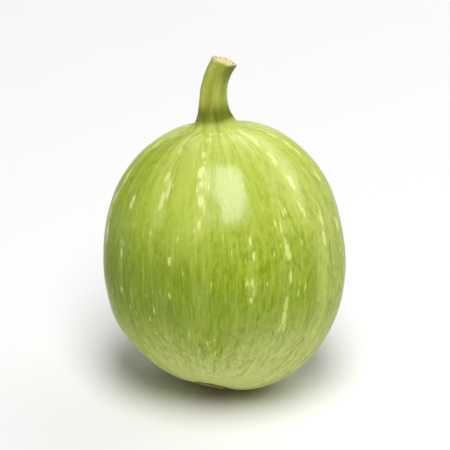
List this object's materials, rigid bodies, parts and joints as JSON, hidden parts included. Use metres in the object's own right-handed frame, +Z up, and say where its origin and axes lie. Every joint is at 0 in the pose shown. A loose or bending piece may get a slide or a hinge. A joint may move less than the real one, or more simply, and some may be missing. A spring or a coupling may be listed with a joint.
{
  "type": "round gourd",
  "caption": "Round gourd as picked: a smooth, faintly ribbed pale green fruit with a ridged, bent stem, that stands on a small flat spot.",
  "frame": {"origin": "middle of the small flat spot that the gourd rests on", "axes": "+Z up, towards the stem; -Y is the front, which the camera saw; +X is to the right of someone who looks at the front"},
  "size_m": [0.0701, 0.0703, 0.0977],
  "materials": {
    "skin": "satin",
    "stalk": "matte"
  },
  "bodies": {
    "root": {"fruit": "skin", "stem": "stalk"}
  },
  "joints": []
}
